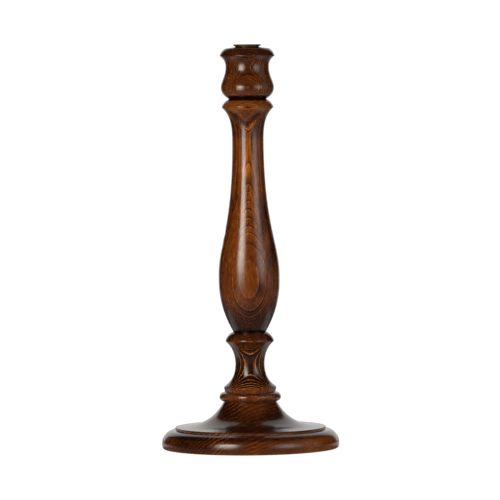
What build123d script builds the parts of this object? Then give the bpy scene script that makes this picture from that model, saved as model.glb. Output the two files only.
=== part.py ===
"""A turned wooden candlestick lamp, bored for its wiring, with a small brass lampholder let into the cup.

Every piece stands in the frame of the whole lamp: millimetres, +Z up, and the origin under the middle
of the felt that the lamp rests on. The turned pieces are drawn as (radius, height) outlines.
"""
from build123d import *
import os

os.makedirs("parts", exist_ok=True)

# ---------------------------------------------------------------- driving dimensions, in millimetres
# Foot, turned from one disc of wood. Heights are above the table.
foot_height = 45.0
foot_radius = 85.2
foot_widest_height = 5.0
foot_underside_radius = 83.6
foot_clearance = 0.4
ledge_radius = 73.2
ledge_height = 18.3
step_radius = 72.2
step_height = 2.6
foot_neck_radius = 25.5

# Column, one spindle of wood. Each turned element has its own length up the axis.
quirk_radius = 25.1
quirk_length = 0.4
torus_round = 4.4
fillet_radius = 25.15
fillet_taper = 0.9
fillet_quirk = 0.6
fillet_length = 4.1
lower_cove_edge = 0.1
lower_cove_length = 22.3
lower_neck_radius = 14.0
lower_neck_length = 21.1
lower_collar_radius = 23.15
lower_collar_length = 9.75
lower_nose_length = 2.6
lower_nose_drop = 0.4
lower_groove_radius = 15.7
belly_length = 53.6
belly_radius = 29.35
vase_length = 130.1
neck_radius = 15.1
neck_length = 31.6
collar_radius = 24.95
collar_length = 7.8
groove_radius = 18.0

# Cup, the top piece of the turning, which meets the column in the dark V-groove.
cup_belly_length = 11.5
cup_belly_radius = 25.55
cup_waist_length = 19.0
cup_waist_radius = 20.8
cup_cove_length = 11.1
cup_rim_radius = 26.5
cup_rim_length = 6.8
cup_top_radius = 21.4
cup_crown_radius = 13.2
cup_top_rise = 1.2
edge_round = 0.45
cup_top_round = 0.9

# Shapes of the turned curves. A fullness is how far a curve keeps straight along the axis, as a share
# of its element's length. A sweep is how a curve leaves an edge, and a lean is the way an arc sets
# off: (across, along) the axis.
foot_edge_sweep = (1.3, 0.8)
foot_edge_fullness = 0.52
foot_rim_fullness = 0.594
foot_rim_sweep = (5.7, 0.0)
flare_sweep = (25.9, 0.4)
foot_neck_sweep = (9.6, 16.3)
lower_cove_sweep = (1.5, 1.9)
lower_cove_fullness = 0.74
lower_neck_fullness = 0.22
lower_collar_sweep = (8.3, 6.5)
belly_sweep = (14.2, 24.6)
belly_fullness = 0.18
vase_foot_fullness = 0.24
vase_top_fullness = 0.63
neck_fullness = 0.69
collar_sweep = (4.7, 5.2)
cup_foot_sweep = (2.7, 2.2)
cup_foot_fullness = 0.61
cup_belly_fullness = 0.26
cup_waist_fullness = 0.42
cup_cove_fullness = 0.59
cup_rim_sweep = (2.8, 2.7)
lower_collar_lean = (-0.45, 1)
collar_lean = (-0.295, 1)
cup_rim_lean = (-0.335, 1)

# Joints in the wood and the bore for the wiring tube.
tenon_radius = 11.0
tenon_length = 18.0
cup_tenon_radius = 10.0
cup_tenon_length = 14.0
glue_gap = 0.1
mortise_gap = 0.5
wood_bore_radius = 5.3

# Underside of the foot.
felt_inset = 3.8
felt_thickness = 2.0
felt_hole_radius = 19.0
felt_gap = 0.4
nut_recess_radius = 18.0
nut_recess_depth = 12.0

# Cable inlet at the back of the foot, with its bush.
cable_axis_height = 8.4
cable_hole_radius = 4.6
cable_seat_depth = 3.9
bush_flange_radius = 6.0
bush_flange_thickness = 1.6
bush_barrel_length = 14.0
bush_bore_radius = 3.3
bush_rim_round = 0.5
bush_mouth_round = 0.8
bush_gap = 0.05
spot_face_gap = 0.3

# Wiring tube, an M10 x 1 threaded tube, and the hardware that clamps it.
tube_radius = 5.0
tube_bore_radius = 3.8
tube_tail = 1.7
thread_gap = 0.05
washer_gap = 0.2
clamp_washer_radius = 16.0
clamp_washer_thickness = 2.0
earth_tag_radius = 7.5
earth_tag_thickness = 0.8
earth_tag_reach = 14.5
earth_tag_width = 6.0
earth_tag_screw_radius = 1.6
lock_washer_radius = 9.0
lock_washer_thickness = 1.0
lock_washer_notches = 12
lock_washer_notch_radius = 0.8
nut_across_flats = 14.0
nut_thickness = 3.5
nut_chamfer = 0.6
ferrule_bore_radius = 3.0
ferrule_length = 8.0
ferrule_flange_radius = 4.8
ferrule_flange_thickness = 1.0
ferrule_rim_round = 0.3

# Lampholder for the small (14 mm) screw cap, sunk into the cup.
socket_depth = 40.0
socket_gap = 0.3
seat_washer_radius = 9.5
seat_washer_thickness = 1.5
skirt_radius = 11.6
skirt_wall = 0.55
skirt_lip_radius = 9.8
skirt_lip_thickness = 0.6
skirt_overlap = 10.0
skirt_rim_round = 0.3
holder_cap_height = 14.0
holder_cap_wall = 1.0
holder_cap_floor = 3.0
holder_boss_radius = 7.0
holder_boss_height = 8.0
insulator_floor = 6.0
insulator_gap = 0.1
shell_bore_radius = 7.0
shell_foot_radius = 6.6
shell_foot_length = 6.0
shell_wall = 0.3
shell_length = 19.0
shell_gap = 0.1
contact_hole_radius = 4.4
strip_thickness = 0.4
strip_width = 3.6
strip_tail = 1.0
tongue_root_x = 0.4
tongue_bend_x = 3.2
tongue_bend_rise = 3.25
tongue_tip_x = -1.4
tongue_rise = 5.0
post_width = 4.6
post_depth = 5.6
post_height = 5.0
shell_post_x = 5.55
contact_post_x = -2.6
stem_radius = 0.8
rivet_head_radius = 1.0
rivet_head_height = 0.7
wire_hole_radius = 1.1
wire_hole_depth = 4.0
terminal_screw_radius = 1.2
terminal_screw_length = 4.0
terminal_head_radius = 2.0
terminal_head_height = 1.3
terminal_slot_width = 0.6

# Knurled ring on the thread at the skirt's top, which clamps a shade's fitter against the cup.
shade_ring_radius = 13.0
shade_ring_height = 1.6
shade_ring_gap = 0.08
shade_ring_rest = 1.2
skirt_end_below_ring = 0.4
knurl_count = 72
knurl_radius = 0.28
ring_chamfer = 0.25

# ---------------------------------------------------------------- heights, added up from the table
shoulder = foot_height
torus_low = shoulder + quirk_length
torus_middle = torus_low + torus_round
torus_top = torus_middle + torus_round
fillet_low = torus_top + fillet_quirk
fillet_top = fillet_low + fillet_length
lower_cove_low = fillet_top + edge_round
lower_neck_height = lower_cove_low + lower_cove_length
lower_collar_low = lower_neck_height + lower_neck_length
lower_nose_top = lower_collar_low + lower_nose_length
lower_groove_height = lower_collar_low + lower_collar_length
belly_height = lower_groove_height + belly_length
neck_height = belly_height + vase_length
collar_low = neck_height + neck_length
groove_height = collar_low + collar_length
cup_belly_height = groove_height + cup_belly_length
cup_waist_height = cup_belly_height + cup_waist_length
cup_rim_height = cup_waist_height + cup_cove_length
cup_shoulder_height = cup_rim_height + cup_rim_length
cup_top = cup_shoulder_height + cup_top_rise

felt_radius = foot_underside_radius - felt_inset
cable_seat_y = foot_radius - cable_seat_depth
foot_edge_length = foot_widest_height - foot_clearance
foot_rim_length = ledge_height - foot_widest_height
step_top = ledge_height + step_height
felt_recess_top = felt_thickness
nut_recess_top = felt_recess_top + nut_recess_depth
clamp_washer_low = nut_recess_top - clamp_washer_thickness
earth_tag_low = clamp_washer_low - earth_tag_thickness
lock_washer_low = earth_tag_low - lock_washer_thickness
nut_low = lock_washer_low - nut_thickness
tube_low = nut_low - tube_tail

socket_floor = cup_top - socket_depth
holder_low = socket_floor + seat_washer_thickness
boss_top = holder_low + holder_boss_height
holder_cap_top = holder_low + holder_cap_height
holder_cap_radius = skirt_radius - skirt_wall - thread_gap
skirt_low = holder_cap_top - skirt_overlap
shade_ring_low = cup_top + shade_ring_rest
shade_ring_top = shade_ring_low + shade_ring_height
skirt_top = shade_ring_top - skirt_end_below_ring
insulator_top = skirt_top - skirt_lip_thickness
shell_floor = holder_cap_top + insulator_floor
thread_low = shell_floor + shell_foot_length
shell_top = shell_floor + shell_length
post_low = holder_cap_top - post_height


# ---------------------------------------------------------------- helpers
def ring_edges(solid, radius, height):
    """The circular edge of a turned solid that lies nearest to a radius and a height."""
    circles = solid.edges().filter_by(GeomType.CIRCLE)
    return circles.sort_by(lambda edge: abs(edge.radius - radius) + abs(edge.center().Z - height))[:1]


def looking_down(height):
    """A plane that faces down at a height, from which holes are drilled upwards."""
    return Plane(origin=(0, 0, height), z_dir=(0, 0, -1))


# ---------------------------------------------------------------- turned wood
with BuildPart() as foot:
    with BuildSketch(Plane.XZ):
        with BuildLine():
            Line((0, foot_clearance), (foot_underside_radius, foot_clearance))
            Bezier(
                (foot_underside_radius, foot_clearance),
                (foot_underside_radius + foot_edge_sweep[0], foot_clearance + foot_edge_sweep[1]),
                (foot_radius, foot_widest_height - foot_edge_fullness * foot_edge_length),
                (foot_radius, foot_widest_height),
            )
            Bezier(
                (foot_radius, foot_widest_height),
                (foot_radius, foot_widest_height + foot_rim_fullness * foot_rim_length),
                (ledge_radius + foot_rim_sweep[0], ledge_height - foot_rim_sweep[1]),
                (ledge_radius, ledge_height),
            )
            Line((ledge_radius, ledge_height), (step_radius, ledge_height))
            Line((step_radius, ledge_height), (step_radius, step_top))
            Bezier(
                (step_radius, step_top),
                (step_radius - flare_sweep[0], step_top + flare_sweep[1]),
                (foot_neck_radius + foot_neck_sweep[0], foot_height - foot_neck_sweep[1]),
                (foot_neck_radius, foot_height),
            )
            Line((foot_neck_radius, foot_height), (0, foot_height))
            Line((0, foot_height), (0, foot_clearance))
        make_face()
    revolve(axis=Axis.Z)
    with Locations(looking_down(foot_clearance)):
        Hole(radius=felt_radius + felt_gap, depth=felt_recess_top - foot_clearance)
    with Locations(looking_down(felt_recess_top)):
        Hole(radius=nut_recess_radius, depth=nut_recess_depth)
    with Locations((0, 0, foot_height)):
        CounterBoreHole(
            radius=wood_bore_radius,
            counter_bore_radius=tenon_radius + glue_gap,
            counter_bore_depth=tenon_length + mortise_gap,
        )
    with Locations(Plane(origin=(0, foot_radius, cable_axis_height), z_dir=(0, 1, 0))):
        CounterBoreHole(
            radius=cable_hole_radius,
            counter_bore_radius=bush_flange_radius + spot_face_gap,
            counter_bore_depth=cable_seat_depth,
            depth=foot_radius - nut_recess_radius + cable_hole_radius,
        )
foot.part.label = "foot"

with BuildPart() as column:
    with BuildSketch(Plane.XZ):
        with BuildLine():
            Polyline(
                (0, shoulder - tenon_length),
                (tenon_radius, shoulder - tenon_length),
                (tenon_radius, shoulder),
                (quirk_radius, shoulder),
                (quirk_radius, torus_low),
            )
            ThreePointArc(
                (quirk_radius, torus_low),
                (quirk_radius + torus_round, torus_middle),
                (quirk_radius, torus_top),
            )
            Polyline(
                (quirk_radius, torus_top),
                (fillet_radius - fillet_taper, fillet_low),
                (fillet_radius, fillet_top),
                (fillet_radius - lower_cove_edge, lower_cove_low),
            )
            Bezier(
                (fillet_radius - lower_cove_edge, lower_cove_low),
                (fillet_radius - lower_cove_sweep[0], lower_cove_low + lower_cove_sweep[1]),
                (lower_neck_radius, lower_neck_height - lower_cove_fullness * lower_cove_length),
                (lower_neck_radius, lower_neck_height),
            )
            Bezier(
                (lower_neck_radius, lower_neck_height),
                (lower_neck_radius, lower_neck_height + lower_neck_fullness * lower_neck_length),
                (lower_collar_radius - lower_collar_sweep[0], lower_collar_low - lower_collar_sweep[1]),
                (lower_collar_radius - lower_nose_drop, lower_collar_low),
            )
            ThreePointArc(
                (lower_collar_radius - lower_nose_drop, lower_collar_low),
                (lower_collar_radius, (lower_collar_low + lower_nose_top) / 2),
                (lower_collar_radius - lower_nose_drop, lower_nose_top),
            )
            TangentArc(
                (lower_collar_radius - lower_nose_drop, lower_nose_top),
                (lower_groove_radius, lower_groove_height),
                tangent=lower_collar_lean,
            )
            Bezier(
                (lower_groove_radius, lower_groove_height),
                (lower_groove_radius + belly_sweep[0], lower_groove_height + belly_sweep[1]),
                (belly_radius, belly_height - belly_fullness * belly_length),
                (belly_radius, belly_height),
            )
            Bezier(
                (belly_radius, belly_height),
                (belly_radius, belly_height + vase_foot_fullness * vase_length),
                (neck_radius, neck_height - vase_top_fullness * vase_length),
                (neck_radius, neck_height),
            )
            Bezier(
                (neck_radius, neck_height),
                (neck_radius, neck_height + neck_fullness * neck_length),
                (collar_radius - collar_sweep[0], collar_low - collar_sweep[1]),
                (collar_radius, collar_low),
            )
            TangentArc((collar_radius, collar_low), (groove_radius, groove_height), tangent=collar_lean)
            Line((groove_radius, groove_height), (0, groove_height))
            Line((0, groove_height), (0, shoulder - tenon_length))
        make_face()
    revolve(axis=Axis.Z)
    fillet(ring_edges(column, fillet_radius, fillet_top), radius=edge_round)
    fillet(ring_edges(column, collar_radius, collar_low), radius=edge_round)
    with Locations((0, 0, groove_height)):
        CounterBoreHole(
            radius=wood_bore_radius,
            counter_bore_radius=cup_tenon_radius + glue_gap,
            counter_bore_depth=cup_tenon_length + mortise_gap,
        )
column.part.label = "column"

with BuildPart() as cup:
    with BuildSketch(Plane.XZ):
        with BuildLine():
            Polyline(
                (0, groove_height - cup_tenon_length),
                (cup_tenon_radius, groove_height - cup_tenon_length),
                (cup_tenon_radius, groove_height),
                (groove_radius, groove_height),
            )
            Bezier(
                (groove_radius, groove_height),
                (groove_radius + cup_foot_sweep[0], groove_height + cup_foot_sweep[1]),
                (cup_belly_radius, cup_belly_height - cup_foot_fullness * cup_belly_length),
                (cup_belly_radius, cup_belly_height),
            )
            Bezier(
                (cup_belly_radius, cup_belly_height),
                (cup_belly_radius, cup_belly_height + cup_belly_fullness * cup_waist_length),
                (cup_waist_radius, cup_waist_height - cup_waist_fullness * cup_waist_length),
                (cup_waist_radius, cup_waist_height),
            )
            Bezier(
                (cup_waist_radius, cup_waist_height),
                (cup_waist_radius, cup_waist_height + cup_cove_fullness * cup_cove_length),
                (cup_rim_radius - cup_rim_sweep[0], cup_rim_height - cup_rim_sweep[1]),
                (cup_rim_radius, cup_rim_height),
            )
            TangentArc(
                (cup_rim_radius, cup_rim_height),
                (cup_top_radius, cup_shoulder_height),
                tangent=cup_rim_lean,
            )
            Polyline(
                (cup_top_radius, cup_shoulder_height),
                (cup_crown_radius, cup_top),
                (0, cup_top),
                (0, groove_height - cup_tenon_length),
            )
        make_face()
    revolve(axis=Axis.Z)
    fillet(ring_edges(cup, cup_rim_radius, cup_rim_height), radius=edge_round)
    fillet(ring_edges(cup, cup_top_radius, cup_shoulder_height), radius=cup_top_round)
    fillet(ring_edges(cup, cup_crown_radius, cup_top), radius=cup_top_round)
    with Locations((0, 0, cup_top)):
        CounterBoreHole(
            radius=wood_bore_radius,
            counter_bore_radius=skirt_radius + socket_gap,
            counter_bore_depth=socket_depth,
        )
cup.part.label = "cup"

# ---------------------------------------------------------------- underside and cable inlet
with BuildPart() as felt_pad:
    Cylinder(felt_radius, felt_thickness, align=(Align.CENTER, Align.CENTER, Align.MIN))
    Hole(radius=felt_hole_radius)
felt_pad.part.label = "felt_pad"

bush_mouth_y = cable_seat_y + bush_flange_thickness
with BuildPart() as cable_bush:
    with BuildSketch(Plane(origin=(0, bush_mouth_y, cable_axis_height), z_dir=(0, 1, 0))):
        Circle(bush_flange_radius)
    extrude(amount=-bush_flange_thickness)
    with BuildSketch(Plane(origin=(0, cable_seat_y, cable_axis_height), z_dir=(0, 1, 0))):
        Circle(cable_hole_radius - bush_gap)
    extrude(amount=-bush_barrel_length)
    outer_rim = cable_bush.edges().filter_by(GeomType.CIRCLE).group_by(Axis.Y)[-1]
    fillet(outer_rim, radius=bush_rim_round)
    with Locations(Plane(origin=(0, bush_mouth_y, cable_axis_height), z_dir=(0, 1, 0))):
        Hole(radius=bush_bore_radius)
    bore_mouth = cable_bush.edges().filter_by(GeomType.CIRCLE).group_by(Axis.Y)[-1].sort_by(SortBy.RADIUS)[:1]
    fillet(bore_mouth, radius=bush_mouth_round)
cable_bush.part.label = "cable_bush"

# ---------------------------------------------------------------- wiring tube and its clamp
with BuildPart() as threaded_tube:
    with BuildSketch(Plane.XY.offset(tube_low)):
        Circle(tube_radius)
        Circle(tube_bore_radius, mode=Mode.SUBTRACT)
    extrude(amount=boss_top - tube_low)
threaded_tube.part.label = "threaded_tube"

with BuildPart() as tube_ferrule:
    with BuildSketch(Plane.XY.offset(tube_low - ferrule_flange_thickness)):
        Circle(ferrule_flange_radius)
    extrude(amount=ferrule_flange_thickness)
    with BuildSketch(Plane.XY.offset(tube_low)):
        Circle(tube_bore_radius - thread_gap)
    extrude(amount=ferrule_length)
    Hole(radius=ferrule_bore_radius)
    fillet(tube_ferrule.edges().group_by(Axis.Z)[0], radius=ferrule_rim_round)
tube_ferrule.part.label = "tube_ferrule"

with BuildPart() as clamp_washer:
    with BuildSketch(Plane.XY.offset(clamp_washer_low)):
        Circle(clamp_washer_radius)
        Circle(tube_radius + washer_gap, mode=Mode.SUBTRACT)
    extrude(amount=clamp_washer_thickness)
clamp_washer.part.label = "clamp_washer"

with BuildPart() as earth_tag:
    with BuildSketch(Plane.XY.offset(earth_tag_low)):
        Circle(earth_tag_radius)
        with Locations((earth_tag_reach / 2, 0)):
            SlotOverall(earth_tag_reach, earth_tag_width)
        Circle(tube_radius + washer_gap, mode=Mode.SUBTRACT)
        with Locations((earth_tag_reach - earth_tag_width / 2, 0)):
            Circle(earth_tag_screw_radius, mode=Mode.SUBTRACT)
    extrude(amount=earth_tag_thickness)
earth_tag.part.label = "earth_tag"

with BuildPart() as lock_washer:
    with BuildSketch(Plane.XY.offset(lock_washer_low)):
        Circle(lock_washer_radius)
        Circle(tube_radius + washer_gap, mode=Mode.SUBTRACT)
        with PolarLocations(lock_washer_radius, lock_washer_notches):
            Circle(lock_washer_notch_radius, mode=Mode.SUBTRACT)
    extrude(amount=lock_washer_thickness)
lock_washer.part.label = "lock_washer"

nut_corner_radius = nut_across_flats / 3**0.5
nut_top = nut_low + nut_thickness
with BuildPart() as clamp_nut:
    with BuildSketch(Plane.XY.offset(nut_low)):
        RegularPolygon(nut_corner_radius, 6)
        Circle(tube_radius + thread_gap, mode=Mode.SUBTRACT)
    extrude(amount=nut_thickness)
    with BuildSketch(Plane.XZ):
        with BuildLine():
            Polyline(
                (0, nut_low),
                (nut_corner_radius - nut_chamfer, nut_low),
                (nut_corner_radius, nut_low + nut_chamfer / 2),
                (nut_corner_radius, nut_top - nut_chamfer / 2),
                (nut_corner_radius - nut_chamfer, nut_top),
                (0, nut_top),
                close=True,
            )
        make_face()
    revolve(axis=Axis.Z, mode=Mode.INTERSECT)
clamp_nut.part.label = "clamp_nut"

# ---------------------------------------------------------------- lampholder
with BuildPart() as seat_washer:
    with BuildSketch(Plane.XY.offset(socket_floor)):
        Circle(seat_washer_radius)
        Circle(tube_radius + washer_gap, mode=Mode.SUBTRACT)
    extrude(amount=seat_washer_thickness)
seat_washer.part.label = "seat_washer"

with BuildPart() as holder_cap:
    with BuildSketch(Plane.XY.offset(holder_low)):
        Circle(holder_cap_radius)
    extrude(amount=holder_cap_height)
    with BuildSketch(Plane.XY.offset(holder_low + holder_cap_floor)):
        Circle(holder_cap_radius - holder_cap_wall)
        Circle(holder_boss_radius, mode=Mode.SUBTRACT)
    extrude(amount=holder_cap_height, mode=Mode.SUBTRACT)
    with BuildSketch(Plane.XY.offset(boss_top)):
        Circle(holder_boss_radius)
    extrude(amount=holder_cap_height, mode=Mode.SUBTRACT)
    with Locations((0, 0, holder_cap_top)):
        Hole(radius=tube_radius + thread_gap)
holder_cap.part.label = "holder_cap"

with BuildPart() as holder_skirt:
    with BuildSketch(Plane.XZ):
        with BuildLine():
            Polyline(
                (skirt_radius - skirt_wall, skirt_low),
                (skirt_radius, skirt_low),
                (skirt_radius, skirt_top),
                (skirt_lip_radius, skirt_top),
                (skirt_lip_radius, insulator_top),
                (skirt_radius - skirt_wall, insulator_top),
                close=True,
            )
        make_face()
    revolve(axis=Axis.Z)
    fillet(ring_edges(holder_skirt, skirt_radius, skirt_top), radius=skirt_rim_round)
holder_skirt.part.label = "holder_skirt"

with BuildPart() as insulator:
    with BuildSketch(Plane.XY.offset(holder_cap_top)):
        Circle(skirt_radius - skirt_wall - insulator_gap)
    extrude(amount=insulator_top - holder_cap_top)
    with Locations((0, 0, insulator_top)):
        Hole(radius=shell_bore_radius + shell_wall + shell_gap, depth=insulator_top - shell_floor)
    with Locations((shell_post_x, 0, shell_floor), (contact_post_x, 0, shell_floor)):
        Hole(radius=stem_radius + thread_gap)
    fillet(ring_edges(insulator, shell_bore_radius, insulator_top), radius=edge_round)
insulator.part.label = "insulator"

with BuildPart() as screw_shell:
    with BuildSketch(Plane.XY.offset(shell_floor)):
        Circle(shell_foot_radius + shell_wall)
    extrude(amount=shell_foot_length)
    with BuildSketch(Plane.XY.offset(thread_low - shell_wall)):
        Circle(shell_bore_radius + shell_wall)
    extrude(amount=shell_top - thread_low + shell_wall)
    with Locations((0, 0, shell_top)):
        Hole(radius=shell_bore_radius, depth=shell_top - thread_low)
        Hole(radius=shell_foot_radius, depth=shell_length - strip_thickness)
        Hole(radius=contact_hole_radius)
    with Locations((shell_post_x, 0, shell_top)):
        Hole(radius=stem_radius + thread_gap)
screw_shell.part.label = "screw_shell"

with BuildPart() as centre_contact:
    with BuildSketch(Plane.XZ):
        with BuildLine():
            Polyline(
                (contact_post_x - strip_tail, shell_floor + strip_thickness / 2),
                (tongue_root_x, shell_floor + strip_thickness / 2),
                (tongue_bend_x, shell_floor + tongue_bend_rise),
                (tongue_tip_x, shell_floor + tongue_rise),
            )
        trace(line_width=strip_thickness)
    extrude(amount=strip_width / 2, both=True)
    with Locations((contact_post_x, 0, shell_floor + strip_thickness)):
        Hole(radius=stem_radius + thread_gap, depth=strip_thickness)
centre_contact.part.label = "centre_contact"

post_places = (shell_post_x, contact_post_x)
screw_height = post_low + post_height / 2
with BuildPart() as terminal_posts:
    for post_x in post_places:
        with BuildSketch(Plane(origin=(post_x, 0, post_low))):
            Rectangle(post_width, post_depth)
        extrude(amount=post_height)
        with BuildSketch(Plane(origin=(post_x, 0, holder_cap_top))):
            Circle(stem_radius)
        extrude(amount=insulator_floor + strip_thickness)
        with BuildSketch(Plane(origin=(post_x, 0, shell_floor + strip_thickness))):
            Circle(rivet_head_radius)
        extrude(amount=rivet_head_height)
        with Locations(Plane(origin=(post_x, 0, post_low), z_dir=(0, 0, -1))):
            Hole(radius=wire_hole_radius, depth=wire_hole_depth)
        with Locations(Plane(origin=(post_x, -post_depth / 2, screw_height), z_dir=(0, -1, 0))):
            Hole(radius=terminal_screw_radius + thread_gap, depth=post_depth)
terminal_posts.part.label = "terminal_posts"

with BuildPart() as terminal_screws:
    for post_x in post_places:
        with BuildSketch(Plane(origin=(post_x, -post_depth / 2, screw_height), z_dir=(0, -1, 0))):
            Circle(terminal_screw_radius)
        extrude(amount=-terminal_screw_length)
        with BuildSketch(Plane(origin=(post_x, -post_depth / 2, screw_height), z_dir=(0, -1, 0))):
            Circle(terminal_head_radius)
        extrude(amount=terminal_head_height)
        slot_y = -post_depth / 2 - terminal_head_height
        with BuildSketch(Plane(origin=(post_x, slot_y, screw_height), z_dir=(0, -1, 0))):
            Rectangle(2 * terminal_head_radius, terminal_slot_width)
        extrude(amount=-terminal_head_height / 2, mode=Mode.SUBTRACT)
terminal_screws.part.label = "terminal_screws"

# ---------------------------------------------------------------- shade ring, the one piece that turns
with BuildPart() as shade_ring:
    with BuildSketch(Plane.XY.offset(shade_ring_low)):
        Circle(shade_ring_radius)
        Circle(skirt_radius + shade_ring_gap, mode=Mode.SUBTRACT)
    extrude(amount=shade_ring_height)
    chamfer(ring_edges(shade_ring, shade_ring_radius, shade_ring_top), length=ring_chamfer)
    chamfer(ring_edges(shade_ring, shade_ring_radius, shade_ring_low), length=ring_chamfer)
    with BuildSketch(Plane.XY.offset(shade_ring_low)):
        with PolarLocations(shade_ring_radius, knurl_count):
            Circle(knurl_radius)
    extrude(amount=shade_ring_height, mode=Mode.SUBTRACT)
shade_ring.part.label = "shade_ring"

pieces = [
    foot, column, cup, felt_pad, cable_bush, threaded_tube, tube_ferrule, clamp_washer, earth_tag,
    lock_washer, clamp_nut, seat_washer, holder_cap, holder_skirt, insulator, screw_shell,
    centre_contact, terminal_posts, terminal_screws, shade_ring,
]
for piece in pieces:
    export_step(piece.part, f"parts/{piece.part.label}.step")
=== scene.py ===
"""Looks for a turned wooden candlestick lamp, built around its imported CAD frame.

Lengths are metres in the frame of the lamp: +Z up, origin under the middle of the felt, and the camera
out along -Y. The wood's figure is worked out in millimetres from the object's own coordinates.
"""
import math

import bmesh
import bpy
from mathutils import Matrix, Vector


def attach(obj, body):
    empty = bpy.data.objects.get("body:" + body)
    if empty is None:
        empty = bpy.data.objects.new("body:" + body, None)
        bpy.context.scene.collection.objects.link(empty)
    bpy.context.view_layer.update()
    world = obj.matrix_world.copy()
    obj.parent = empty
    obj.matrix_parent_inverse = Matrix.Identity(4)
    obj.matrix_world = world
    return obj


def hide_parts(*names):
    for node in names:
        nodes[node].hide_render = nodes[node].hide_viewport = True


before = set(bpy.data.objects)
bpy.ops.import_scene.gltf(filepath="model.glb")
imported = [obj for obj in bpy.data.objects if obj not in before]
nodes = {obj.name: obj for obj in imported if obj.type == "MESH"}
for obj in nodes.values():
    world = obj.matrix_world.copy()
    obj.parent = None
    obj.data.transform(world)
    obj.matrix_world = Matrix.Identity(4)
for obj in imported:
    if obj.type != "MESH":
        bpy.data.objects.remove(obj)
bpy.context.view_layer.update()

MM = 0.001
WHITE = (1.0, 1.0, 1.0, 1.0)


# ---------------------------------------------------------------- shader arithmetic
class Wire:
    """One output in a node tree, which takes part in ordinary arithmetic."""

    def __init__(self, owner, socket):
        self.owner = owner
        self.socket = socket

    def maths(self, operation, first, second=0.0):
        return self.owner.node("ShaderNodeMath", {"operation": operation}, {0: first, 1: second})

    def __add__(self, other):
        return self.maths("ADD", self, other)

    def __radd__(self, other):
        return self.maths("ADD", other, self)

    def __sub__(self, other):
        return self.maths("SUBTRACT", self, other)

    def __rsub__(self, other):
        return self.maths("SUBTRACT", other, self)

    def __mul__(self, other):
        return self.maths("MULTIPLY", self, other)

    def __truediv__(self, other):
        return self.maths("DIVIDE", self, other)

    def __abs__(self):
        return self.maths("ABSOLUTE", self)

    def root(self):
        return self.maths("SQRT", self)

    def whole(self):
        return self.maths("FLOOR", self)

    def fraction(self):
        return self.maths("FRACT", self)

    def largest(self, other):
        return self.maths("MAXIMUM", self, other)

    def smallest(self, other):
        return self.maths("MINIMUM", self, other)

    def rise(self, start, end):
        """0 up to start, 1 from end on, with a smooth rise between; start may lie above end."""
        return self.owner.node(
            "ShaderNodeMapRange",
            {"interpolation_type": "SMOOTHSTEP"},
            {"Value": self, "From Min": start, "From Max": end, "To Min": 0.0, "To Max": 1.0},
        )

    def beside(self, name):
        """Another output of the same node."""
        return Wire(self.owner, self.socket.node.outputs[name])


class Nodes:
    """A node tree, built up node by node."""

    def __init__(self, tree):
        self.tree = tree

    def feed(self, socket, value):
        """Links a wire to a socket, or sets the socket's own value."""
        if isinstance(value, Wire):
            self.tree.links.new(value.socket, socket)
        else:
            socket.default_value = value

    def node(self, kind, settings=None, sockets=None, out=0):
        """Adds a node: its settings first, then its sockets' values or links; returns one output."""
        made = self.tree.nodes.new(kind)
        for key, value in (settings or {}).items():
            setattr(made, key, value)
        for key, value in (sockets or {}).items():
            self.feed(made.inputs[key], value)
        return Wire(self, made.outputs[out])

    def split(self, vector):
        x = self.node("ShaderNodeSeparateXYZ", None, {"Vector": vector})
        return x, x.beside("Y"), x.beside("Z")

    def join(self, x, y, z):
        return self.node("ShaderNodeCombineXYZ", None, {"X": x, "Y": y, "Z": z})

    def stretch(self, vector, factors):
        return self.node("ShaderNodeVectorMath", {"operation": "MULTIPLY"}, {0: vector, 1: factors})

    def noise(self, vector, scale=1.0, detail=2.0, roughness=0.5):
        """Noise from 0 to 1, one feature for each 1 / scale of the vector."""
        return self.node(
            "ShaderNodeTexNoise",
            {"noise_dimensions": "3D"},
            {"Vector": vector, "Scale": scale, "Detail": detail, "Roughness": roughness},
        )

    def ramp(self, value, stops):
        """Colours read off a ramp, whose stops are (place, colour) pairs."""
        colours = self.node("ShaderNodeValToRGB", None, {0: value})
        elements = colours.socket.node.color_ramp.elements
        while len(elements) < len(stops):
            elements.new(0.5)
        for element, (place, tint) in zip(elements, stops):
            element.position = place
            element.color = tint
        return colours

    def blend(self, factor, first, second):
        """Mixes two colours."""
        return self.node(
            "ShaderNodeMix",
            {"data_type": "RGBA", "blend_type": "MIX", "clamp_factor": True},
            {0: factor, 6: first, 7: second},
            out=2,
        )


class Finish(Nodes):
    """One material, built up from its nodes."""

    def __init__(self, name):
        self.material = bpy.data.materials.new(name)
        self.material.use_nodes = True
        super().__init__(self.material.node_tree)
        self.tree.nodes.clear()
        self.surface = self.tree.nodes.new("ShaderNodeOutputMaterial").inputs["Surface"]

    def place(self):
        """The object's own coordinates, in millimetres."""
        own = self.node("ShaderNodeTexCoord", out="Object")
        return self.node("ShaderNodeVectorMath", {"operation": "SCALE"}, {0: own, "Scale": 1 / MM})

    def relief(self, height):
        """The normal of a surface whose height is given in millimetres."""
        return self.node("ShaderNodeBump", None, {"Height": height, "Strength": 1.0, "Distance": MM})

    def ends_in(self, shader):
        self.feed(self.surface, shader)
        return self.material

    def shade(self, **sockets):
        """Ends the tree in a Principled shader; socket names are written with underscores."""
        named = {key.replace("_", " "): value for key, value in sockets.items()}
        return self.ends_in(self.node("ShaderNodeBsdfPrincipled", None, named))


def colour(red, green, blue):
    """A colour as seen, 0 to 255 each, for a shader socket."""
    seen = (red / 255, green / 255, blue / 255)
    plain = [c / 12.92 if c <= 0.04045 else ((c + 0.055) / 1.055) ** 2.4 for c in seen]
    return (*plain, 1.0)


# ---------------------------------------------------------------- shapes in the woods' tones
# Lengths, heights and places are in millimetres from here to the end of the woods.
def band(z, low, high, soft):
    """1 between two heights, falling to 0 over a soft distance outside them."""
    return z.rise(low - soft, low) * z.rise(high + soft, high)


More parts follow.
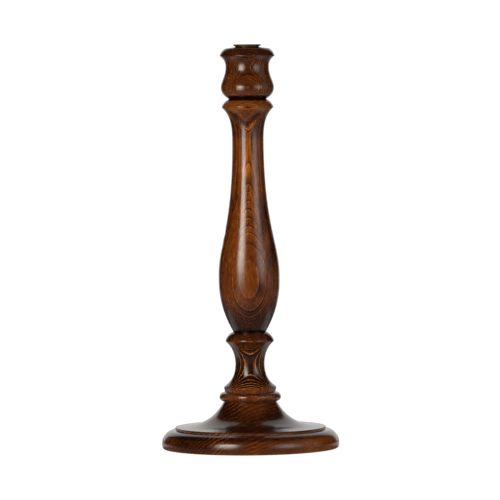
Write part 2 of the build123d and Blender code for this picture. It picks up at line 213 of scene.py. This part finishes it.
def bands(z, table):
    """The sum of a table of bands, each with its amount as the last number."""
    return sum((band(z, *heights) * amount for *heights, amount in table), 0.0)


def patch(x, z, middle, size, soft):
    """A soft-edged oval, seen from the camera's side: 1 inside, 0 outside."""
    across = (x - middle[0]) / size[0]
    up = (z - middle[1]) / size[1]
    return (across * across + up * up).root().rise(1.0 + soft, 1.0 - soft)


def patches(x, z, table):
    """The sum of a table of patches."""
    return sum((patch(x, z, *oval) for oval in table), 0.0)


def turned_edge(z, height, reach):
    """How far sanding has rounded off a sharp turned edge, as relief."""
    sanded = 0.55
    return abs(z - height).rise(reach, 0.0) * (-sanded * reach)


def figure(wood, place, factors, scale, detail, roughness=0.5):
    """Noise about zero; factors below 1 draw it out along their axes."""
    return wood.noise(wood.stretch(place, factors), scale, detail, roughness) - 0.5


# ---------------------------------------------------------------- stained woods
# Tones run from 0, the black of the late bands, to 1, the bright orange of the early lines.
STAIN = (
    (0.0, colour(20, 7, 4)), (0.2, colour(46, 18, 7)), (0.4, colour(84, 38, 10)),
    (0.6, colour(120, 60, 15)), (0.8, colour(158, 88, 24)), (1.0, colour(186, 114, 38)),
)
# Depths of the spindle's growth rings in front of its axis, from the pith outwards.
RING_DEPTHS = (12.9, 14.15, 14.85, 15.5, 16.6, 17.2, 18.1, 19.1, 20.3, 21.7, 22.9, 25.2, 28.1, 31.0)
INNER_SPACING = 2.5
PITH_DISTANCE = 140.0
# The wider rings of the cove, and the number that makes their count meet the others'.
COVE_SPACING = 2.2
COVE_COUNT_START = 3.9

# Bands of the spindle, as (low, high, soft edge, amount); the quirk and groove bands are painted shade.
DARKER_AND_SHADED_BANDS = (
    (53.0, 54.0, 0.5, 0.3),  # painted shade in the quirk under the fillet
    (112.2, 114.2, 0.7, 0.5),  # groove above the lower collar: stain and painted shade in the groove
    (113.0, 124.0, 24.0, 0.3),  # foot of the belly
    (302.0, 318.0, 7.0, 0.14),  # under the upper collar
    (335.0, 338.8, 0.8, 0.7),  # V-groove and the foot of the cup above it: stain and painted shade
    (342.0, 374.0, 3.0, 0.09),  # cup
    (360.0, 377.0, 3.0, 0.12),  # waist of the cup
)
LIGHTER_BANDS = (
    (99.0, 110.0, 2.0, 0.1),  # lower collar
    (175.0, 250.0, 30.0, 0.04),  # belly and its shoulder
    (326.0, 334.0, 1.5, 0.1),  # upper collar
)
CLEARER_LINES = (
    (118.0, 142.0, 6.0, 0.6),  # foot of the belly
    (325.0, 335.0, 1.0, 0.3),  # upper collar
)
# Ovals on the front, as (middle, half size, soft edge).
EYES = (
    ((-1.4, 347.0), (9.0, 12.0), 0.5),  # cup
    ((-3.0, 168.0), (13.0, 34.0), 0.4),  # belly
)
BLOTCHES = (
    ((14.4, 218.0), (3.5, 14.0), 0.6),
    ((22.0, 185.0), (4.5, 16.0), 0.6),
    ((11.0, 153.0), (5.0, 6.0), 0.7),
)
# The V of darker and lighter lines under the upper collar.
CHEVRON_TIP = (-2.0, 310.0)
# Sharp edges that are sanded off, as (height, reach): fillet, upper collar and cup rim.
SANDED_EDGES = ((58.9, 0.5), (327.8, 1.2), (377.2, 0.8))


def lacquered(wood, tone, relief):
    """Stained wood under satin lacquer."""
    return wood.shade(
        Base_Color=wood.ramp(tone, STAIN),
        Roughness=wood.noise(wood.place(), 0.03, 2.0) * 0.04 + 0.16,
        Normal=wood.relief(relief),
        IOR=1.5,
    )


def ring_number(wood, depth):
    """Counts the growth rings up to a depth; the fraction says how far through its ring a place is."""
    first, last = RING_DEPTHS[0], RING_DEPTHS[-1]
    count = len(RING_DEPTHS) - 1
    stops = [
        ((ring - first) / (last - first), (*(at / count,) * 3, 1.0))
        for at, ring in enumerate(RING_DEPTHS)
    ]
    outer = wood.ramp((depth - first) / (last - first), stops) * count
    return outer + (depth - first).smallest(0.0) / INNER_SPACING


def chevron_lines(x, z):
    """The tone that the V under the upper collar adds."""
    tip_x, tip_z = CHEVRON_TIP
    above = z - tip_z - abs(x - tip_x)
    lower = band(above, -6.0, -5.0, 1.5) * band(z, 302.0, 320.0, 3.0) * 0.12
    upper = band(above, 5.0, 6.5, 1.0) * band(z, 308.0, 323.0, 3.0) * 0.12
    dark = band(above, -1.0, 1.5, 1.5) * band(z, 306.0, 323.0, 3.0) * 0.2
    return lower + upper - dark


def spindle_wood():
    """Column and cup, as if turned from one length of ring-porous wood, its pith behind the lamp."""
    wood = Finish("stained_spindle_wood")
    place = wood.place()
    x, y, z = wood.split(place)

    def lengthwise(factor, *noise):
        return figure(wood, place, (1.0, 1.0, factor), *noise)

    cove = z.rise(59.0, 60.6) * z.rise(101.0, 93.0)
    cove_foot = z.rise(59.2, 61.0) * z.rise(77.0, 70.0)
    cup = z.rise(338.0, 341.0)
    cup_flanks = cup * abs(x).rise(6.0, 12.0) * z.rise(375.0, 370.0)

    # Growth rings: a bright line of early wood, then a band that darkens towards the next ring.
    back = PITH_DISTANCE - y
    drift = lengthwise(0.25, 0.05, 1.0) * 0.9
    ragged = lengthwise(0.22, 0.5, 4.0, 0.65) * 0.35
    depth = (back * back + x * x).root() - PITH_DISTANCE + drift + ragged - z.rise(335.0, 341.0) * 0.3
    in_cove = z.rise(101.0, 95.0)
    number = ring_number(wood, depth)
    number = number + (depth / COVE_SPACING - COVE_COUNT_START - number) * in_cove
    part = number.fraction()
    year = wood.noise(wood.join(number.whole(), 0.0, z * 0.006), 3.1, 1.0)
    early = part.rise(in_cove * 0.22 + 0.15, 0.02) * 0.46 * (0.3 + year)
    late = part.rise(0.62, 0.98) * 0.5 * (1.25 - year)
    strength = (
        0.74 + cove * 1.3 + cove_foot * 0.4 + cup_flanks * 0.6 + bands(z, CLEARER_LINES)
        + z.rise(300.0, 312.0) * 0.45 - z.rise(59.0, 58.0) * 0.35
    )
    strength = strength * (1.0 - patches(x, z, EYES) * 0.75) * (1.0 - z.rise(375.0, 379.0) * 0.5)

    # Fine grain.
    grain = lengthwise(0.09, 0.75, 4.0, 0.75)
    speck = lengthwise(0.35, 0.7, 3.0, 0.8)
    cloud = lengthwise(0.3, 0.09, 3.0, 0.6)
    pores = lengthwise(0.14, 1.1, 2.0, 0.6).rise(0.1, 0.2)
    streaks = lengthwise(0.02, 0.42, 3.0, 0.6)
    streaks = streaks * (0.16 + band(z, 220.0, 308.0, 20.0) * 0.75 + cove * 0.5)

    throat = band(z, 268.0, 308.0, 10.0)
    heart = depth.rise(14.7, 15.1) * depth.rise(16.7, 16.2) * throat * 0.26
    dark_heart = depth.rise(15.0, 14.2) * z.rise(318.0, 308.0) * 0.14
    neck_flanks = band(z, 250.0, 305.0, 12.0) * abs(x).rise(4.0, 9.0) * 0.14
    light = bands(z, LIGHTER_BANDS) + heart + neck_flanks + z.rise(62.0, 58.0) * 0.02
    # Darker tones: the wood's own, plus painted shade in the grooves, the quirk and the crease at the
    # foot of the cove.
    shade = (
        bands(z, DARKER_AND_SHADED_BANDS) + cove * 0.22 + cove_foot * 0.24 + z.rise(374.0, 379.0) * 0.2
        + dark_heart + patches(x, z, BLOTCHES) * (0.2 + grain * 0.6)
    )
    tone = 0.5 + (early - late) * strength + streaks + light - shade + chevron_lines(x, z)
    tone = tone + (grain * 0.68 + speck * 0.6) * (1.0 - cup * 0.5) + cloud * 0.3 - pores * 0.14
    rounding = sum((turned_edge(z, *edge) for edge in SANDED_EDGES), 0.0)
    return lacquered(wood, tone, rounding + grain * 0.008 - pores * 0.01)


# The foot's pith lies below it and to the right, as (x, z).
FOOT_PITH = (61.0, -121.0)
FOOT_SPACING = 3.1
# Ovals of shade on the foot's flare, as (middle, half size, soft edge).
LEFT_FLARE_SHADE = ((-23.0, 39.0), (11.0, 7.0), 0.7)
RIGHT_FLARE_SHADE = ((22.0, 36.0), (10.0, 14.0), 0.7)


def foot_wood():
    """The foot: a board of the same kind, its grain running front to back."""
    wood = Finish("stained_foot_wood")
    place = wood.place()
    x, _, z = wood.split(place)
    flare = z.rise(19.0, 21.5)
    rim = z.rise(19.0, 17.0)

    drift = figure(wood, place, (1.0, 0.2, 1.0), 0.03, 2.0) * 12.0
    ragged = figure(wood, place, (1.0, 0.25, 1.0), 0.4, 4.0, 0.65) * 2.2
    across = x - FOOT_PITH[0]
    up = z - FOOT_PITH[1]
    part = (((across * across + up * up).root() + drift + ragged) / FOOT_SPACING).fraction()
    early = part.rise(0.4, 0.1) * 0.22
    late = part.rise(0.4, 0.9) * 0.32
    grain = figure(wood, place, (0.3, 0.12, 0.8), 0.9, 4.0, 0.75)
    speck = figure(wood, place, (0.6, 0.3, 1.0), 0.7, 3.0, 0.8)
    cloud = figure(wood, place, (1.0, 0.5, 1.0), 0.045, 2.0, 0.6)
    strength = cloud.rise(-0.15, 0.15) * x.rise(40.0, -35.0) * (1.0 - x.rise(-42.0, -66.0) * rim * 0.6)

    # Darker tones; the band low on the flare is painted shade in the corner where the flare meets the
    # step.
    shade = (
        flare * z.rise(40.0, 26.0) * 0.17
        + flare * z.rise(26.0, 22.0) * 0.12
        + patch(x, z, *LEFT_FLARE_SHADE) * flare * 0.2
        + patch(x, z, *RIGHT_FLARE_SHADE) * flare * 0.1
        + band(z, 14.0, 17.5, 1.5) * 0.16  # shoulder of the rim
        + band(x, -66.0, -44.0, 14.0) * rim * 0.12
    )
    light = (
        x.rise(30.0, 62.0) * z.rise(18.0, 14.0) * 0.14  # right of the rim
        + z.rise(4.0, 0.8) * 0.2  # painted reflection of the lit table along the lower edge
        + band(z, 18.3, 18.9, 0.3) * 0.15  # painted highlight along the edge of the step
    )
    tone = 0.42 + (early - late) * (strength + 0.12) + light - shade
    tone = tone + grain * 0.5 + speck * 0.36 + cloud * 0.4
    return lacquered(wood, tone, grain * 0.01)


# ---------------------------------------------------------------- the other finishes
def fine_finish(name, first, second, grain, roughness, relief, flecks=None, **fixed):
    """Two close colours clouded together, with roughness and relief that follow a finer grain.

    grain gives the noise's stretch and features a millimetre, roughness its low and high ends, and
    flecks their features a millimetre, their strength and their colour.
    """
    finish = Finish(name)
    place = finish.place()
    fine = finish.noise(finish.stretch(place, grain[0]), grain[1], 4.0, 0.65)
    cloud = finish.noise(place, 0.12, 3.0, 0.6)
    tint = finish.blend(fine * 0.6 + cloud * 0.7 - 0.15, colour(*first), colour(*second))
    if flecks:
        spacing, strength, fleck = flecks
        spots = finish.noise(place, spacing, 2.0, 0.5).rise(0.62, 0.72)
        tint = finish.blend(spots * strength, tint, colour(*fleck))
    low, high = roughness
    return finish.shade(
        Base_Color=tint,
        Roughness=(fine * 0.5 + cloud * 0.5).rise(0.25, 0.75) * (high - low) + low,
        Normal=finish.relief(fine * relief),
        **fixed,
    )


LATHE_LINES = (0.03, 0.03, 1.0)
EVEN = (1.0, 1.0, 1.0)
PRESSED_LAYERS = (1.0, 0.3, 2.0)
FINISHES = {
    "felt": fine_finish(
        "green_wool_felt", (40, 56, 38), (74, 92, 62), (EVEN, 0.9), (0.85, 1.0), 0.12,
        (0.5, 0.4, (104, 118, 88)), Sheen_Weight=0.3, Specular_IOR_Level=0.2,
    ),
    "black_plastic": fine_finish(
        "moulded_black_plastic", (26, 26, 27), (40, 40, 41), (EVEN, 2.0), (0.38, 0.6), 0.01,
    ),
    "brass": fine_finish(
        "aged_lacquered_brass", (112, 76, 34), (150, 108, 54), (LATHE_LINES, 4.0), (0.46, 0.6), 0.004,
        (0.7, 0.3, (84, 52, 28)), Metallic=1.0,
    ),
    "shell_brass": fine_finish(
        "pressed_shell_brass", (196, 158, 88), (222, 188, 116), (LATHE_LINES, 3.0), (0.18, 0.34),
        0.004, (0.8, 0.3, (150, 112, 62)), Metallic=1.0,
    ),
    "zinc_steel": fine_finish(
        "zinc_plated_steel", (158, 160, 160), (196, 198, 194), (EVEN, 1.2), (0.28, 0.5), 0.004,
        (0.6, 0.4, (206, 202, 176)), Metallic=1.0,
    ),
    "tinned_brass": fine_finish(
        "tinned_brass_tag", (176, 176, 170), (206, 205, 198), (EVEN, 0.9), (0.32, 0.52), 0.006,
        (0.9, 0.35, (168, 146, 104)), Metallic=1.0,
    ),
    "fibre": fine_finish(
        "red_vulcanised_fibre", (104, 34, 26), (142, 54, 38), (PRESSED_LAYERS, 1.6), (0.55, 0.75), 0.02,
    ),
    "steatite": fine_finish(
        "glazed_steatite", (214, 208, 192), (236, 232, 220), (EVEN, 0.5), (0.12, 0.3), 0.012,
        (0.4, 0.35, (198, 186, 160)), IOR=1.55,
    ),
    "black_metal": fine_finish(
        "black_lacquered_ring", (18, 15, 13), (32, 27, 23), (LATHE_LINES, 3.0), (0.42, 0.58), 0.006,
        (1.1, 0.4, (58, 44, 32)),
    ),
    "spindle_wood": spindle_wood(),
    "foot_wood": foot_wood(),
}

for cad_object in nodes.values():
    for cad_slot in cad_object.material_slots:
        cad_slot.material = FINISHES[cad_slot.material.name]


# ---------------------------------------------------------------- turned and threaded pieces
# Lengths given to these functions are in millimetres.
def wind(mesh, parts, turns, steps, climb=0.0, closed=False):
    """Spins a mesh's parts about the lamp's axis, climbing by so many metres a step."""
    bmesh.ops.spin(
        mesh, geom=parts, cent=(0.0, 0.0, 0.0), axis=(0.0, 0.0, 1.0), dvec=(0.0, 0.0, climb),
        angle=math.tau * turns, steps=steps, use_merge=closed,
    )


def outline_corners(mesh, outline):
    """The corners of an outline of (radius, height)."""
    return [mesh.verts.new((radius * MM, 0.0, height * MM)) for radius, height in outline]


def turned_mesh(mesh, outline, steps):
    """Turns a closed outline about the lamp's axis."""
    corners = outline_corners(mesh, outline)
    edges = [mesh.edges.new(pair) for pair in zip(corners, corners[1:] + corners[:1])]
    wind(mesh, corners + edges, 1, steps, closed=True)


def thread_ridge(mesh, crest, root, low, high, pitch, steps):
    """A sharp ridge wound from one height to the other, between the radii of its root and crest."""
    turns = (high - low) / pitch
    count = round(turns * steps)
    half = pitch * 0.46
    flat = half * 0.12
    corners = outline_corners(
        mesh, [(root, low - half), (crest, low - flat), (crest, low + flat), (root, low + half)]
    )
    start = mesh.faces.new(corners)
    wind(mesh, [start, *start.edges, *corners], turns, count, climb=(high - low) * MM / count)
    open_edges = [edge for edge in mesh.edges if edge.is_boundary]
    if open_edges:
        bmesh.ops.holes_fill(mesh, edges=open_edges, sides=4)


def finished_piece(name, mesh, slot, stands_for, smooth_angle=35.0):
    """Makes an object of a mesh, smooth but for edges sharper than an angle in degrees."""
    bmesh.ops.remove_doubles(mesh, verts=mesh.verts, dist=1e-7)
    bmesh.ops.recalc_face_normals(mesh, faces=mesh.faces)
    for face in mesh.faces:
        face.smooth = True
    for edge in mesh.edges:
        if len(edge.link_faces) == 2 and edge.calc_face_angle(0.0) > math.radians(smooth_angle):
            edge.smooth = False
    data = bpy.data.meshes.new(name)
    mesh.to_mesh(data)
    mesh.free()
    data.materials.append(FINISHES[slot])
    piece = bpy.data.objects.new(name, data)
    bpy.context.scene.collection.objects.link(piece)
    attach(piece, "lamp")
    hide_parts(stands_for)
    return piece


def base_felt():
    """The felt under the foot, with a hole for the clamping hardware."""
    mesh = bmesh.new()
    outer, hole, top, edge = 79.8, 19.0, 2.0, 0.35
    outline = [
        (hole + edge, 0.0), (outer - edge, 0.0), (outer, edge), (outer, top - edge),
        (outer - edge, top), (hole + edge, top), (hole, top - edge), (hole, edge),
    ]
    turned_mesh(mesh, outline, 128)
    felt = finished_piece("base_felt", mesh, "felt", "felt_pad")


def wiring_tube():
    """The M10 x 1 tube: plain in the middle, threaded at both ends."""
    mesh = bmesh.new()
    outer, root, bore, low, high = 5.0, 4.45, 3.8, 5.0, 354.7
    threaded, runout, pitch, sunk = 14.0, 0.5, 1.0, 0.02
    outline = [
        (bore, low), (root, low), (root, low + threaded), (outer, low + threaded + runout),
        (outer, high - threaded - runout), (root, high - threaded), (root, high), (bore, high),
    ]
    turned_mesh(mesh, outline, 48)
    for start, end in ((low, low + threaded), (high - threaded, high)):
        thread_ridge(mesh, outer, root - sunk, start + runout, end - runout, pitch, 32)
    finished_piece("wiring_tube", mesh, "brass", "threaded_tube")


def lampholder_skirt():
    """The drawn skirt, whose top carries the shade ring's fine thread."""
    mesh = bmesh.new()
    outer, bore, root, lip = 11.6, 11.05, 11.3, 9.8
    low, thread_low, high, wall = 350.7, 383.6, 387.6, 0.6
    chamfer, pitch, sunk = 0.3, 0.8, 0.02
    outline = [
        (bore, low), (outer, low), (outer, thread_low), (root, thread_low + chamfer),
        (root, high - chamfer), (root - chamfer, high), (lip, high), (lip, high - wall),
        (bore, high - wall),
    ]
    turned_mesh(mesh, outline, 96)
    thread_ridge(mesh, outer, root - sunk, thread_low + 0.5, high - 0.7, pitch, 72)
    finished_piece("lampholder_skirt", mesh, "brass", "holder_skirt")


def lamp_screw_shell():
    """The rolled shell for a 14 mm lamp cap: a rounded thread above a plain foot."""
    mesh = bmesh.new()
    pitch, steps, wall, swing, middle, points = 2.82, 48, 0.3, 0.22, 6.9, 12
    low, foot_top, high = 366.7, 372.7, 385.7
    start = foot_top - pitch
    wave = [
        (middle + swing * math.cos(math.tau * at / points), start + pitch * at / points)
        for at in range(points + 1)
    ]
    corners = outline_corners(mesh, wave)
    edges = [mesh.edges.new(pair) for pair in zip(corners, corners[1:])]
    turns = math.ceil((high - start) / pitch) + 1
    wind(mesh, corners + edges, turns, turns * steps, climb=pitch * MM / steps)
    bmesh.ops.remove_doubles(mesh, verts=mesh.verts, dist=1e-6)
    for height, outwards in ((foot_top, -1.0), (high, 1.0)):
        bmesh.ops.bisect_plane(
            mesh, geom=mesh.verts[:] + mesh.edges[:] + mesh.faces[:], clear_outer=True,
            plane_co=(0.0, 0.0, height * MM), plane_no=(0.0, 0.0, outwards),
        )
    bmesh.ops.recalc_face_normals(mesh, faces=mesh.faces)
    bmesh.ops.solidify(mesh, geom=mesh.faces[:], thickness=wall * MM)
    inside = middle - wall
    turned_mesh(mesh, [(inside, low), (middle, low), (middle, foot_top), (inside, foot_top)], steps)
    finished_piece("lamp_screw_shell", mesh, "shell_brass", "screw_shell", smooth_angle=60.0)


base_felt()
wiring_tube()
lampholder_skirt()
lamp_screw_shell()


# ---------------------------------------------------------------- studio
def glow(finish, tint, radiance):
    return finish.node("ShaderNodeEmission", None, {"Color": tint, "Strength": radiance})


def floor_finish():
    """White to the camera, grey to the light that falls on it, and clear from below."""
    pale = Finish("pale_floor")
    camera_ray = pale.node("ShaderNodeLightPath", out="Is Camera Ray")
    lit = pale.node("ShaderNodeBsdfDiffuse", None, {"Color": (0.35, 0.35, 0.35, 1.0)})
    seen = {0: camera_ray * 0.92, 1: lit, 2: glow(pale, WHITE, 1.12)}
    from_below = pale.node("ShaderNodeNewGeometry", out="Backfacing")
    clear = {
        0: from_below.largest(camera_ray.beside("Is Shadow Ray")),
        1: pale.node("ShaderNodeMixShader", None, seen),
        2: pale.node("ShaderNodeBsdfTransparent"),
    }
    return pale.ends_in(pale.node("ShaderNodeMixShader", None, clear))


def flat_panel(name, width, depth, material):
    mesh = bmesh.new()
    bmesh.ops.create_grid(mesh, x_segments=1, y_segments=1, size=0.5)
    bmesh.ops.scale(mesh, vec=(width, depth, 1.0), verts=mesh.verts)
    data = bpy.data.meshes.new(name)
    mesh.to_mesh(data)
    mesh.free()
    data.materials.append(material)
    panel = bpy.data.objects.new(name, data)
    bpy.context.scene.collection.objects.link(panel)
    return panel


def reflected_card(name, width, depth, place, radiance, upright):
    """A white card that only the lacquer's reflections show."""
    finish = Finish(name)
    material = finish.ends_in(glow(finish, (1.0, 0.99, 0.96, 1.0), radiance))
    card = flat_panel(name, width, depth, material)
    card.location = place
    card.rotation_euler = (math.radians(90.0 if upright else 0.0), 0.0, 0.0)
    card.visible_camera = card.visible_diffuse = card.visible_shadow = False


def softbox(name, azimuth, distance, middle, size, radiance, tint=(1.0, 1.0, 1.0), fades=()):
    """A rectangular light at an azimuth to the right of the camera's side, facing the lamp's axis.

    fades gives where the light rises or falls across and up the box, as (axis, from, to) shares.
    """
    light = bpy.data.lights.new(name, "AREA")
    light.shape = "RECTANGLE"
    light.size, light.size_y = size
    light.energy = radiance * math.pi * size[0] * size[1]
    light.color = tint
    if fades:
        light.use_nodes = True
        box = Nodes(light.node_tree)
        spot = box.split(box.node("ShaderNodeNewGeometry", out="Parametric"))
        strength = 1.0
        for axis, dark, full in fades:
            strength = spot[axis].rise(dark, full) * strength
        box.feed(box.tree.nodes["Emission"].inputs["Strength"], strength)
    holder = bpy.data.objects.new(name, light)
    angle = math.radians(azimuth)
    holder.location = (distance * math.sin(angle), -distance * math.cos(angle), middle)
    aim = Vector((0.0, 0.0, middle)) - holder.location
    holder.rotation_euler = aim.to_track_quat("-Z", "Y").to_euler()
    holder.visible_camera = False
    bpy.context.scene.collection.objects.link(holder)
    return holder


def studio_world():
    """Dim light from all round, next to none of it in reflections, and white where the camera looks."""
    world = bpy.data.worlds.new("studio")
    world.use_nodes = True
    bpy.context.scene.world = world
    sky = Nodes(world.node_tree)
    sky.tree.nodes.clear()
    ambient, reflected, seen = (
        sky.node("ShaderNodeBackground", None, {"Color": WHITE, "Strength": strength})
        for strength in (0.12, 0.01, 1.05)
    )
    camera_ray = sky.node("ShaderNodeLightPath", out="Is Camera Ray")
    glossy_ray = camera_ray.beside("Is Glossy Ray")
    unseen = sky.node("ShaderNodeMixShader", None, {0: glossy_ray, 1: ambient, 2: reflected})
    both = sky.node("ShaderNodeMixShader", None, {0: camera_ray, 1: unseen, 2: seen})
    sky.feed(sky.tree.nodes.new("ShaderNodeOutputWorld").inputs["Surface"], both)


# The floor lies a little under the felt, so that the two don't share a plane.
flat_panel("floor", 12.0, 12.0, floor_finish()).location.z = -0.3 * MM

# Name, width, depth or height, place of the middle, radiance, upright.
CARDS = (
    ("backdrop_low", 2.0, 0.75, (0.05, 1.8, 0.375), 0.95, True),
    ("backdrop_left", 0.84, 1.05, (-0.62, 1.8, 1.275), 0.85, True),
    ("backdrop_right", 0.84, 1.05, (0.66, 1.8, 1.275), 0.85, True),
    ("backdrop_high", 2.4, 2.2, (0.1, 1.8, 2.9), 0.75, True),
    ("table_behind", 1.4, 0.9, (0.0, 1.35, 0.001), 0.7, False),
    ("table_near", 0.6, 0.2, (0.0, 0.1, 0.0005), 0.6, False),
    ("table_front_left", 0.5, 0.6, (-0.32, -0.5, 0.001), 0.45, False),
)
for card in CARDS:
    reflected_card(*card)

ACROSS, UP = 0, 1
softbox(
    "left_softbox", azimuth=-30.5, distance=0.65, middle=0.28, size=(0.43, 0.56), radiance=12.3,
    tint=(1.0, 0.915, 0.79),
    fades=((ACROSS, 0.0, 0.3), (ACROSS, 1.0, 0.6), (UP, -0.06, 0.75), (UP, 1.0, 0.9)),
)
softbox(
    "right_softbox", azimuth=48.0, distance=1.0, middle=0.4, size=(0.98, 0.8), radiance=2.7,
    tint=(0.93, 1.0, 1.0),
    fades=((ACROSS, 0.0, 0.5), (ACROSS, 1.0, 0.55), (UP, 0.0, 0.35), (UP, 1.1, 0.5)),
)
softbox("side_card", azimuth=83.0, distance=1.2, middle=0.5, size=(0.8, 1.0), radiance=0.3)
for fill, side, brightness in (("right_fill", 62.0, 0.8), ("back_fill", 165.0, 1.6)):
    soft_fill = softbox(fill, side, 1.2, 0.4, (1.0, 1.0), brightness, (1.0, 0.95, 0.9))
    soft_fill.visible_glossy = False
bounce = softbox("table_bounce", 0.0, 0.0, -0.8, (1.8, 1.8), 0.8, (1.0, 0.96, 0.9))
bounce.rotation_euler = (math.pi, 0.0, 0.0)
bounce.visible_glossy = False

studio_world()

# ---------------------------------------------------------------- camera
CAMERA_PLACE = Vector((0.00106, -4.333, 0.392))
CAMERA_AIM = Vector((0.00106, 0.0, 0.1907))
CAMERA_ROLL = 0.53
CAMERA_LENS = 325.33
camera_data = bpy.data.cameras.new("camera")
camera_data.sensor_width = 36.0
camera_data.lens = CAMERA_LENS
camera_data.clip_start = 0.1
camera_data.clip_end = 100.0
camera = bpy.data.objects.new("camera", camera_data)
bpy.context.scene.collection.objects.link(camera)
camera.location = CAMERA_PLACE
turn = (CAMERA_AIM - CAMERA_PLACE).to_track_quat("-Z", "Y").to_matrix().to_4x4()
camera.rotation_euler = (turn @ Matrix.Rotation(math.radians(-CAMERA_ROLL), 4, "Z")).to_euler()
bpy.context.scene.camera = camera
bpy.context.scene.view_settings.view_transform = "Standard"
